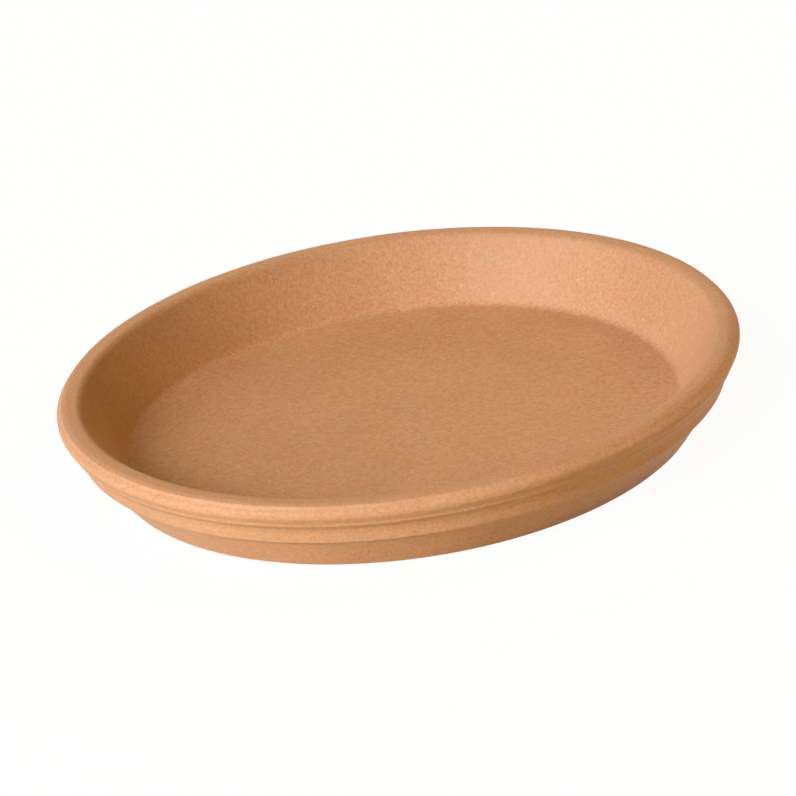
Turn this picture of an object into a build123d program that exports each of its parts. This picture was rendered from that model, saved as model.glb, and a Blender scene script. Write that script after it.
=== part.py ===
from build123d import *
import os

# A plant saucer of fired clay: one pressed piece, round about the Z axis.
# It stands on its foot ring at Z zero. Every size is in millimetres.

# Overall sizes, and how far the foot stands in under the rim
rim_diameter = 250.0
height = 31.0
foot_inset = 18.5

# The dish: the lip's distance in from the rim, and the flare down to the floor
rim_width = 8.8
lip_rounding = 3.5
inside_flare = 14.7
floor_thickness = 6.6
floor_rounding = 3.6

# The rim: rising a little from the lip to a low crest, then rolling over outwards to a blunt nose
lip_drop = 0.15
crest_inset = 3.7
edge_inset = 1.9
edge_fall = 0.5
edge_rounding = 1.2
nose_drop = 2.1
nose_land = 1.2
nose_rounding = 1.5
rim_band_height = 6.8
rim_undercut = 1.6

# The thin bead below the rim, which stands out over the collar
bead_height = 1.4
bead_draft = 0.4
bead_rounding = 0.7
bead_overhang = 1.7
bead_slope = 1.1

# The slightly hollow collar below the bead, and the step under it
collar_height = 6.8
collar_draft = 2.45
shoulder_height = 2.5
shoulder_draft = 1.3
step_depth = 1.9
step_drop = 1.4

# The foot ring and the shallow recess that it goes round
foot_width = 12.0
foot_chamfer = 0.8
recess_depth = 1.5
recess_slope = 2.0

# Radii and heights that follow from the sizes above
rim_radius = rim_diameter / 2
foot_radius = rim_radius - foot_inset
lip_radius = rim_radius - rim_width
floor_radius = lip_radius - inside_flare
edge_height = height - edge_fall
nose_top = edge_height - nose_drop
nose_bottom = nose_top - nose_land
band_bottom = height - rim_band_height
band_bottom_radius = rim_radius - rim_undercut
bead_edge = band_bottom - bead_height
bead_radius = band_bottom_radius - bead_draft
collar_top = bead_edge - bead_slope
collar_top_radius = bead_radius - bead_overhang
shoulder = collar_top - shoulder_height
shoulder_radius = collar_top_radius - shoulder_draft
collar_bottom = collar_top - collar_height
collar_bottom_radius = collar_top_radius - collar_draft
wall_top = collar_bottom - step_drop
wall_top_radius = collar_bottom_radius - step_depth
foot_edge_radius = foot_radius + foot_chamfer * (wall_top_radius - foot_radius) / wall_top
ring_radius = foot_radius - foot_width
recess_radius = ring_radius - recess_slope

# The half section, corner by corner: radius, height and rounding, which is zero where the corner is sharp
section = [
    (0, recess_depth, 0),
    (recess_radius, recess_depth, 0),
    (ring_radius, 0, 0),
    (foot_radius - foot_chamfer, 0, 0),
    (foot_edge_radius, foot_chamfer, 0),
    (wall_top_radius, wall_top, 0),
    (collar_bottom_radius, collar_bottom, 0),
    (shoulder_radius, shoulder, 0),
    (collar_top_radius, collar_top, 0),
    (bead_radius, bead_edge, bead_rounding),
    (band_bottom_radius, band_bottom, 0),
    (rim_radius, nose_bottom, nose_rounding),
    (rim_radius, nose_top, nose_rounding),
    (rim_radius - edge_inset, edge_height, edge_rounding),
    (rim_radius - crest_inset, height, 0),
    (lip_radius, height - lip_drop, lip_rounding),
    (floor_radius, floor_thickness, floor_rounding),
    (0, floor_thickness, 0),
]

with BuildPart() as saucer:
    with BuildSketch(Plane.XZ):
        with BuildLine():
            FilletPolyline(
                [(radius, level) for radius, level, rounding in section],
                radius=[rounding for radius, level, rounding in section],
                close=True,
            )
        make_face()
    revolve(axis=Axis.Z)

saucer.part.label = "saucer"

os.makedirs("parts", exist_ok=True)
export_step(saucer.part, "parts/saucer.step")
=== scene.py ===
import math

import bpy
import numpy as np
from mathutils import Matrix, Vector, noise


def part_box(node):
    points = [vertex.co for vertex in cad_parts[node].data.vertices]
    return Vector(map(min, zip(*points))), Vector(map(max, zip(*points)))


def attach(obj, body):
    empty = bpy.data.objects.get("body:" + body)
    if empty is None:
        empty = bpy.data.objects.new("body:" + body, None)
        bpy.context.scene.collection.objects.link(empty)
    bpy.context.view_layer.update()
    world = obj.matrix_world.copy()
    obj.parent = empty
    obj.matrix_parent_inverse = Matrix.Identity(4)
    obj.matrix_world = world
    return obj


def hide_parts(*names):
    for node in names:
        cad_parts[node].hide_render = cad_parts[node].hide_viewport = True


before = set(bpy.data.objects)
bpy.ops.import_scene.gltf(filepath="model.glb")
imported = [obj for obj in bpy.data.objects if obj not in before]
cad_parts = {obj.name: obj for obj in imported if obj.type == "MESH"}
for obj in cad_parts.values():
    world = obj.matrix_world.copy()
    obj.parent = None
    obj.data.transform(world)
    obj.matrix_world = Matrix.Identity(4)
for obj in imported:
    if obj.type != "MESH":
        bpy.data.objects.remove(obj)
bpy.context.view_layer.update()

# Sizes in metres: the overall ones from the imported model, the small ones close to its section
MM = 0.001
low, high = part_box("saucer")
RIM_RADIUS = (high.x - low.x) / 2
HEIGHT = high.z - low.z
FOOT_RADIUS = RIM_RADIUS - 18.5 * MM


# A corner of the section, so many millimetres in from the rim and down from its crest
def from_rim(inset, drop):
    return (RIM_RADIUS - inset * MM, HEIGHT - drop * MM)


LIP = from_rim(8.8, 0.15)
CREST = from_rim(3.7, 0)
RIM_EDGE = from_rim(1.9, 0.5)
RIM_HOLLOW = from_rim(1.25, 1.5)
NOSE_EDGE = from_rim(0.25, 2.5)
NOSE_TOP = from_rim(0, 3.2)
NOSE_BOTTOM = from_rim(0, 4.7)
BAND_BOTTOM = from_rim(1.65, 7.2)
BEAD = from_rim(2.05, 8.4)
COLLAR_TOP = from_rim(4.1, 10.4)
SHOULDER = from_rim(5.05, 12.4)
COLLAR_BOTTOM = from_rim(6.15, 16.4)
WALL_TOP = from_rim(8.9, 18.3)
RING = (FOOT_RADIUS - 12.0 * MM, 0)
RECESS = (RING[0] - 2.0 * MM, 1.5 * MM)
DISH_FLOOR = (LIP[0] - 14.7 * MM, 6.6 * MM)

# The half section from the middle of the underside to the middle of the floor: radius, height, rounding
SECTION = (
    (0, RECESS[1], 0),
    (*RECESS, 0.9 * MM),
    (*RING, 0.9 * MM),
    (FOOT_RADIUS, 0, 1.3 * MM),
    (*WALL_TOP, 5.0 * MM),
    (*COLLAR_BOTTOM, 0.45 * MM),
    (*SHOULDER, 6.0 * MM),
    (*COLLAR_TOP, 1.4 * MM),
    (*BEAD, 0.7 * MM),
    (*BAND_BOTTOM, 0.4 * MM),
    (*NOSE_BOTTOM, 2.5 * MM),
    (*NOSE_TOP, 1.2 * MM),
    (*NOSE_EDGE, 1.2 * MM),
    (*RIM_HOLLOW, 1.5 * MM),
    (*RIM_EDGE, 0.8 * MM),
    (*CREST, 3.0 * MM),
    (*LIP, 3.5 * MM),
    (*DISH_FLOOR, 3.6 * MM),
    (0, DISH_FLOOR[1], 0),
)

# How finely the mesh follows the section, with longer steps on a long level run, and how many go round
ARC_STEP = math.radians(12)
WALL_STEP = 0.6 * MM
FLAT_STEP = 4.0 * MM
FLAT_RUN = 40.0 * MM
FLAT_SLOPE = 0.01
STEPS_ROUND = 384

# The unevenness of pressed clay: each layer's waves per metre and depth, always inwards
UNEVEN_LAYERS = ((35, 0.16 * MM), (160, 0.03 * MM))
# How fast its smaller waves fade, how much smaller each is than the last, and how many there are
UNEVEN_WAVES = (0.8, 2.0, 3)
# It fades out over this height above the foot, which stands flat
FOOT_FADE = 1.0 * MM
# Slightly out of round: waves round the rim, their size and where they lie, in degrees
OVAL_WAVES = ((2, 0.10 * MM, 100), (3, 0.06 * MM, 20), (5, 0.03 * MM, 65))


def limited(value):
    return min(1, max(0, value))


# The arc that rounds one corner, as points from its start to its end
def corner_arc(before, corner, after, rounding):
    here = Vector(corner)
    to_before = (Vector(before) - here).normalized()
    to_after = (Vector(after) - here).normalized()
    half = to_before.angle(to_after) / 2
    centre = here + (to_before + to_after).normalized() * rounding / math.sin(half)
    start = here + to_before * rounding / math.tan(half) - centre
    end = here + to_after * rounding / math.tan(half) - centre
    turn = start.angle_signed(end)
    steps = max(2, math.ceil(abs(turn) / ARC_STEP))
    return [centre + Matrix.Rotation(-turn * k / steps, 2) @ start for k in range(steps + 1)]


# The section as closely spaced points
def profile():
    runs = [[Vector(SECTION[0][:2])]]
    for before, (radius, height, rounding), after in zip(SECTION, SECTION[1:], SECTION[2:]):
        runs.append(corner_arc(before[:2], (radius, height), after[:2], rounding))
    runs.append([Vector(SECTION[-1][:2])])
    points = []
    for run, following in zip(runs, runs[1:]):
        points += run
        gap = following[0] - run[-1]
        level = gap.length > FLAT_RUN and abs(gap.y) < FLAT_SLOPE * abs(gap.x)
        count = max(1, round(gap.length / (FLAT_STEP if level else WALL_STEP)))
        points += [run[-1] + gap * k / count for k in range(1, count)]
    return np.array(points + runs[-1])


# How far the surface lies inside its true shape at a point
def sunk(x, y, z):
    depth = 0
    for waves, size in UNEVEN_LAYERS:
        value = noise.fractal(Vector((x, y, z)) * waves, *UNEVEN_WAVES)
        depth += size * limited(0.5 + 0.5 * value)
    return depth * limited(z / FOOT_FADE)


# How much smaller the radius is in one direction
def out_of_round(angle):
    return sum(
        size * (1 + math.cos(count * (angle - math.radians(turn))))
        for count, size, turn in OVAL_WAVES
    )


# The whole piece, turned round the Z axis from the section
def saucer_mesh():
    path = profile()
    along = np.gradient(path, axis=0)
    along /= np.linalg.norm(along, axis=1, keepdims=True)
    points = [(0, 0, path[0][1])]
    for (radius, height), (run, rise) in list(zip(path, along))[1:-1]:
        for step in range(STEPS_ROUND):
            angle = 2 * math.pi * step / STEPS_ROUND
            depth = sunk(radius * math.cos(angle), radius * math.sin(angle), height)
            reach = radius * (1 - out_of_round(angle) / RIM_RADIUS) - depth * rise
            points.append((reach * math.cos(angle), reach * math.sin(angle), height + depth * run))
    points.append((0, 0, path[-1][1]))
    rings = len(path) - 2
    last = 1 + (rings - 1) * STEPS_ROUND
    faces = []
    for step in range(STEPS_ROUND):
        after = (step + 1) % STEPS_ROUND
        faces.append((0, 1 + after, 1 + step))
        faces.append((len(points) - 1, last + step, last + after))
        for ring in range(rings - 1):
            first = 1 + ring * STEPS_ROUND
            above = first + STEPS_ROUND
            faces.append((first + step, first + after, above + after, above + step))
    mesh = bpy.data.meshes.new("saucer_clay")
    mesh.from_pydata(points, [], faces)
    mesh.update()
    mesh.shade_smooth()
    return mesh


# Sets a node's input, or links it where the value comes from another node
def feed(tree, socket, value):
    if isinstance(value, bpy.types.NodeSocket):
        tree.links.new(value, socket)
    else:
        socket.default_value = value


# Adds a node, sets its properties, and sets or links its inputs
def add_node(tree, kind, inputs=None, **settings):
    node = tree.nodes.new("ShaderNode" + kind)
    for name, value in settings.items():
        setattr(node, name, value)
    for name, value in (inputs or {}).items():
        feed(tree, node.inputs[name], value)
    return node


# The empty node tree of a material or a world
def new_tree(owner):
    owner.use_nodes = True
    owner.node_tree.nodes.clear()
    return owner.node_tree


def math_node(tree, operation, *values):
    return add_node(tree, "Math", dict(enumerate(values)), operation=operation).outputs[0]


# A number moved smoothly from one range to another
def ramp(tree, value, start, end, low_value=0.0, high_value=1.0):
    inputs = {"Value": value, "From Min": start, "From Max": end, "To Min": low_value, "To Max": high_value}
    return add_node(tree, "MapRange", inputs, interpolation_type="SMOOTHSTEP").outputs[0]


# A share of one colour laid over another
def mix_colour(tree, share, under, over, blend_type="MIX"):
    node = add_node(tree, "Mix", data_type="RGBA", blend_type=blend_type)
    for socket, value in zip((node.inputs[0], node.inputs[6], node.inputs[7]), (share, under, over)):
        feed(tree, socket, value)
    return node.outputs[2]


# Fired clay: the colours are in linear light
CLAY_DEEP = (0.468, 0.225, 0.116, 1)
CLAY_PALE = (0.496, 0.240, 0.127, 1)
HUES = ((1.018, 0.988, 0.965, 1), (0.985, 1.008, 1.030, 1))
SPECK = (0.72, 0.48, 0.29, 1)
# Painted shade: the dark colour laid into the pits stands in for the shade inside them
PIT_SHADE = (0.24, 0.10, 0.040, 1)
SCUFF = (0.50, 0.19, 0.040, 1)
# How much of the clay's colour each kind of mark covers
SPECK_COVER = 0.45
# The share of painted shade in the pits
PIT_SHADE_COVER = 0.45
SCUFF_COVER = 0.7
# How many waves of each pattern a metre holds
BLOTCH_WAVES = 30.0
HUE_WAVES = 130.0
FINE_WAVES = 1000.0
COARSE_WAVES = 520.0
RAGGED_WAVES = 500.0
TURNING_WAVES = 420.0
# How much the turning lines change on the way round
TURNING_DRIFT = 1.6
# How far the grain lightens and darkens the colour, and its share in red, green and blue
FINE_GRAIN = 0.065
COARSE_GRAIN = 0.03
GRAIN_BY_CHANNEL = (1.0, 1.9, 3.0)
# The floor inside the dish is that much grainier than the rest, up to a height at which it fades
FLOOR_GRAIN = 1.35
FLOOR_GRAIN_FADE = (DISH_FLOOR[1] + 2 * MM, DISH_FLOOR[1] + 0.5 * MM)
# The relief: shares of the grain and of the turning lines, and how deep it looks
GRAIN_RELIEF = 0.6
TURNING_RELIEF = 0.5
RELIEF_STRENGTH = 0.17
RELIEF_DEPTH = 0.1 * MM
ROUGHNESS = (0.44, 0.60)
SPECULAR_LEVEL = 0.085
IOR = 1.5

# Marks that show in the photograph: where each one lies and its half width, in metres
# Pits, which are dents in the relief and are darkened with painted shade
PITS = (
    ((17.1 * MM, 8.8 * MM, 6.6 * MM), 1.1 * MM),
    ((19.6 * MM, 3.3 * MM, 6.6 * MM), 0.8 * MM),
    ((10.3 * MM, -23.2 * MM, 6.6 * MM), 1.0 * MM),
    ((6.1 * MM, -23.5 * MM, 6.6 * MM), 0.8 * MM),
)
SPECKS = (
    ((-15.6 * MM, 62.6 * MM, 6.6 * MM), 0.9 * MM),
    ((-32.3 * MM, 66.8 * MM, 6.6 * MM), 0.9 * MM),
    ((-2.1 * MM, 58.6 * MM, 6.6 * MM), 0.8 * MM),
)
SCUFF_ANGLE = math.radians(-68)
SCUFF_PLACE = (122 * MM * math.cos(SCUFF_ANGLE), 122 * MM * math.sin(SCUFF_ANGLE), 20.7 * MM)
SCUFF_SIZE = (4.0 * MM, 6.5 * MM, 1.6 * MM)
SCUFF_RAGGED = 0.9
# Other marks: cells in a metre, how far a mark reaches in its cell, and the share of cells with one
OTHER_PITS = (130.0, 0.10, 0.03)
OTHER_SPECKS = (170.0, 0.12, 0.05)


# A soft-edged spot at a place, with a half size along each axis, turned about the Z axis
def spot(tree, place, centre, half_size, turn=0.0, ragged=0.0):
    inputs = {"Vector": place, "Location": centre, "Rotation": (0, 0, turn), "Scale": half_size}
    local = add_node(tree, "Mapping", inputs, vector_type="TEXTURE").outputs["Vector"]
    away = add_node(tree, "VectorMath", {0: local}, operation="LENGTH").outputs["Value"]
    if ragged:
        edge = {"Vector": place, "Scale": RAGGED_WAVES, "Detail": 3.0}
        edge = add_node(tree, "TexNoise", edge).outputs["Fac"]
        away = math_node(tree, "ADD", away, math_node(tree, "MULTIPLY_ADD", edge, ragged, -ragged / 2))
    return ramp(tree, away, 1.0, 0.3)


# The spots of one kind together: those in the photograph, and others in a few cells of a cell pattern
def spots(tree, place, marks, cells, reach, chosen):
    cell = add_node(tree, "TexVoronoi", {"Vector": place, "Scale": cells, "Randomness": 1.0})
    inside = ramp(tree, cell.outputs["Distance"], reach, reach * 0.3)
    picked = add_node(tree, "SeparateXYZ", {0: cell.outputs["Color"]}).outputs[0]
    mask = math_node(tree, "MULTIPLY", inside, math_node(tree, "GREATER_THAN", picked, 1 - chosen))
    for centre, half in marks:
        mask = math_node(tree, "MAXIMUM", mask, spot(tree, place, centre, (half, half, half)))
    return mask


# Faint lines left by turning: noise stretched round the axis
def turning_lines(tree, place):
    x, y, z = add_node(tree, "SeparateXYZ", {"Vector": place}).outputs
    flat = add_node(tree, "CombineXYZ", {0: x, 1: y}).outputs[0]
    radius = add_node(tree, "VectorMath", {0: flat}, operation="LENGTH").outputs["Value"]
    way_round = add_node(tree, "VectorMath", {0: flat}, operation="NORMALIZE").outputs["Vector"]
    across = math_node(tree, "MULTIPLY", math_node(tree, "ADD", radius, z), TURNING_WAVES)
    slow = {0: way_round, "Scale": TURNING_DRIFT}
    slow = add_node(tree, "VectorMath", slow, operation="SCALE").outputs["Vector"]
    steps = add_node(tree, "CombineXYZ", {2: across}).outputs[0]
    line_place = add_node(tree, "VectorMath", {0: slow, 1: steps}).outputs[0]
    lines = {"Vector": line_place, "Scale": 1.0, "Detail": 3.0, "Roughness": 0.55}
    return add_node(tree, "TexNoise", lines).outputs["Fac"]


def terracotta():
    material = bpy.data.materials.new("terracotta")
    tree = new_tree(material)
    place = add_node(tree, "TexCoord").outputs["Object"]

    def noise_at(scale, detail, roughness=0.5):
        inputs = {"Vector": place, "Scale": scale, "Detail": detail, "Roughness": roughness}
        return add_node(tree, "TexNoise", inputs).outputs["Fac"]

    # Broad blotches from the firing, and smaller ones that lean to pink or to ochre
    colour = mix_colour(tree, ramp(tree, noise_at(BLOTCH_WAVES, 3.0), 0.3, 0.7), CLAY_DEEP, CLAY_PALE)
    hue = mix_colour(tree, ramp(tree, noise_at(HUE_WAVES, 2.0), 0.35, 0.65), *HUES)
    colour = mix_colour(tree, 1.0, colour, hue, "MULTIPLY")

    # Sandy grain, fine and coarse, which lightens and darkens the clay
    fine = noise_at(FINE_WAVES, 1.0, 0.7)
    coarse = noise_at(COARSE_WAVES, 1.0)
    fine_share = ramp(tree, fine, 0.25, 0.75, -FINE_GRAIN, FINE_GRAIN)
    coarse_share = ramp(tree, coarse, 0.25, 0.75, -COARSE_GRAIN, COARSE_GRAIN)
    height = add_node(tree, "SeparateXYZ", {"Vector": place}).outputs[2]
    amount = ramp(tree, height, *FLOOR_GRAIN_FADE, 1.0, FLOOR_GRAIN)
    grain = math_node(tree, "MULTIPLY", math_node(tree, "ADD", fine_share, coarse_share), amount)
    grain = add_node(tree, "CombineXYZ", {0: grain, 1: grain, 2: grain}).outputs[0]
    grain = {0: grain, 1: GRAIN_BY_CHANNEL, 2: (1, 1, 1)}
    grain = add_node(tree, "VectorMath", grain, operation="MULTIPLY_ADD").outputs["Vector"]
    colour = mix_colour(tree, 1.0, colour, grain, "MULTIPLY")

    specks = spots(tree, place, SPECKS, *OTHER_SPECKS)
    pits = spots(tree, place, PITS, *OTHER_PITS)
    scuff = spot(tree, place, SCUFF_PLACE, SCUFF_SIZE, SCUFF_ANGLE, SCUFF_RAGGED)
    colour = mix_colour(tree, math_node(tree, "MULTIPLY", specks, SPECK_COVER), colour, SPECK)
    # The pits are real dents in the relief below, and are darkened with painted shade as if shade lay in
    # them
    colour = mix_colour(tree, math_node(tree, "MULTIPLY", pits, PIT_SHADE_COVER), colour, PIT_SHADE)
    colour = mix_colour(tree, math_node(tree, "MULTIPLY", scuff, SCUFF_COVER), colour, SCUFF)

    # The surface's own relief: grain, turning lines and pits
    relief = math_node(tree, "MULTIPLY", coarse, GRAIN_RELIEF)
    relief = math_node(tree, "MULTIPLY_ADD", fine, GRAIN_RELIEF, relief)
    relief = math_node(tree, "MULTIPLY_ADD", turning_lines(tree, place), TURNING_RELIEF, relief)
    relief = math_node(tree, "SUBTRACT", relief, pits)
    bump = add_node(tree, "Bump", {"Height": relief, "Strength": RELIEF_STRENGTH, "Distance": RELIEF_DEPTH})
    shader = add_node(tree, "BsdfPrincipled", {
        "Base Color": colour,
        "Roughness": ramp(tree, fine, 0.3, 0.7, *ROUGHNESS),
        "Specular IOR Level": SPECULAR_LEVEL,
        "IOR": IOR,
        "Normal": bump.outputs["Normal"],
    })
    add_node(tree, "OutputMaterial", {"Surface": shader.outputs[0]})
    return material


def add_saucer():
    saucer = bpy.data.objects.new("saucer_visual", saucer_mesh())
    bpy.context.scene.collection.objects.link(saucer)
    saucer.data.materials.append(terracotta())
    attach(saucer, "root")
    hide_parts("saucer")


# A pale warm floor that shows nearly white and keeps a light shadow
FLOOR_PALE = (0.60, 0.50, 0.20, 1)
FLOOR_WHITE_SHARE = 0.95
FLOOR_WIDTH = 8
WHITE = (1, 1, 1, 1)


# One for the rays that show a thing to the camera, in a reflection or through it, and zero for its light
def seen_rays(tree):
    rays = add_node(tree, "LightPath").outputs
    seen = math_node(tree, "MAXIMUM", rays["Is Camera Ray"], rays["Is Glossy Ray"])
    return math_node(tree, "MAXIMUM", seen, rays["Is Transmission Ray"])


def add_floor():
    material = bpy.data.materials.new("studio_floor")
    tree = new_tree(material)
    seen = seen_rays(tree)
    share = math_node(tree, "MULTIPLY", seen, FLOOR_WHITE_SHARE)
    diffuse = add_node(tree, "BsdfDiffuse", {"Color": mix_colour(tree, seen, FLOOR_PALE, WHITE)}).outputs[0]
    white = add_node(tree, "Emission", {"Color": WHITE, "Strength": 1.0}).outputs[0]
    mixed = add_node(tree, "MixShader", {0: share, 1: diffuse, 2: white}).outputs[0]
    add_node(tree, "OutputMaterial", {"Surface": mixed})
    bpy.ops.mesh.primitive_plane_add(size=FLOOR_WIDTH)
    floor = bpy.context.object
    floor.name = "studio_floor"
    floor.data.materials.append(material)


# White wherever the camera or a reflection looks past the floor; the lamps give all the light
def add_world():
    world = bpy.data.worlds.new("studio")
    bpy.context.scene.world = world
    tree = new_tree(world)
    sky = add_node(tree, "Background", {"Color": WHITE, "Strength": seen_rays(tree)})
    add_node(tree, "OutputWorld", {"Surface": sky.outputs[0]})


# Soft studio lamps: name, elevation and azimuth in degrees, strength, colour
LAMPS = (
    ("key_left", 20, 205, 2.18, (0.86, 0.95, 1.0)),
    ("key_front", 35, 230, 2.85, (0.96, 1.0, 0.98)),
    ("sheen_left", 35, 205, 3.5, (1.0, 1.0, 1.0)),
    ("top_back", 52, 30, 0.70, (1.0, 0.78, 0.29)),
    ("fill_right", 35, 330, 0.45, (1.0, 0.78, 0.05)),
    ("back", 20, 90, 0.36, (1.0, 0.67, 0.29)),
)
LAMP_SPREAD = math.radians(25)
# This lamp adds to the highlights only
SHEEN_LAMP = "sheen_left"

# Low cards that light the outside of the front and nothing in the dish: name, azimuth, watts, colour
CARDS = (
    ("card_left", 210, 0.33, (0.66, 0.86, 1.0)),
    ("card_front", 240, 0.45, (0.80, 0.95, 1.0)),
    ("card_right", 350, 0.43, (1.0, 0.99, 0.92)),
)
CARD_SIZE = (0.5, 0.02)
CARD_DISTANCE = 0.42
CARD_HEIGHT = 13 * MM


# The direction from the middle of the saucer to a lamp
def way_to(elevation, azimuth):
    level = math.cos(math.radians(elevation))
    return Vector((
        level * math.cos(math.radians(azimuth)),
        level * math.sin(math.radians(azimuth)),
        math.sin(math.radians(elevation)),
    ))


# A light of one kind at a place, shining back along its way
def add_light(name, kind, power, colour, place, way):
    light = bpy.data.lights.new(name, kind)
    light.energy = power
    light.color = colour
    holder = bpy.data.objects.new(name, light)
    holder.location = place
    holder.rotation_euler = way.to_track_quat("Z", "Y").to_euler()
    bpy.context.scene.collection.objects.link(holder)
    return holder


def add_lamps():
    for name, elevation, azimuth, strength, colour in LAMPS:
        way = way_to(elevation, azimuth)
        lamp = add_light(name, "SUN", strength, colour, way, way)
        lamp.data.angle = LAMP_SPREAD
        lamp.visible_diffuse = name != SHEEN_LAMP


def add_cards():
    for name, azimuth, watts, colour in CARDS:
        way = way_to(0, azimuth)
        card = add_light(name, "AREA", watts, colour, way * CARD_DISTANCE + Vector((0, 0, CARD_HEIGHT)), way)
        card.data.shape = "RECTANGLE"
        card.data.size, card.data.size_y = CARD_SIZE
        card.visible_camera = False


# The camera, fitted to the outline in the photograph
def add_camera():
    distance = 12 * RIM_RADIUS
    elevation = math.radians(23.61)
    roll = math.radians(8.18)
    focal_pixels = 4097.0
    frame_pixels = 796
    off_right = 0.0110 * RIM_RADIUS
    off_up = -0.1038 * RIM_RADIUS
    right = Vector((1, 0, 0))
    up = Vector((0, math.sin(elevation), math.cos(elevation)))
    back = Vector((0, -math.cos(elevation), math.sin(elevation)))
    axis_x = math.cos(roll) * right - math.sin(roll) * up
    axis_y = math.sin(roll) * right + math.cos(roll) * up
    place = back * distance - right * off_right - up * off_up
    data = bpy.data.cameras.new("camera")
    data.sensor_width = 36
    data.lens = data.sensor_width * focal_pixels / frame_pixels
    data.clip_end = 20
    camera = bpy.data.objects.new("camera", data)
    camera.matrix_world = Matrix((
        (axis_x.x, axis_y.x, back.x, place.x),
        (axis_x.y, axis_y.y, back.y, place.y),
        (axis_x.z, axis_y.z, back.z, place.z),
        (0, 0, 0, 1),
    ))
    bpy.context.scene.collection.objects.link(camera)
    bpy.context.scene.camera = camera


add_saucer()
add_floor()
add_world()
add_lamps()
add_cards()
add_camera()
bpy.context.scene.view_settings.view_transform = "Standard"
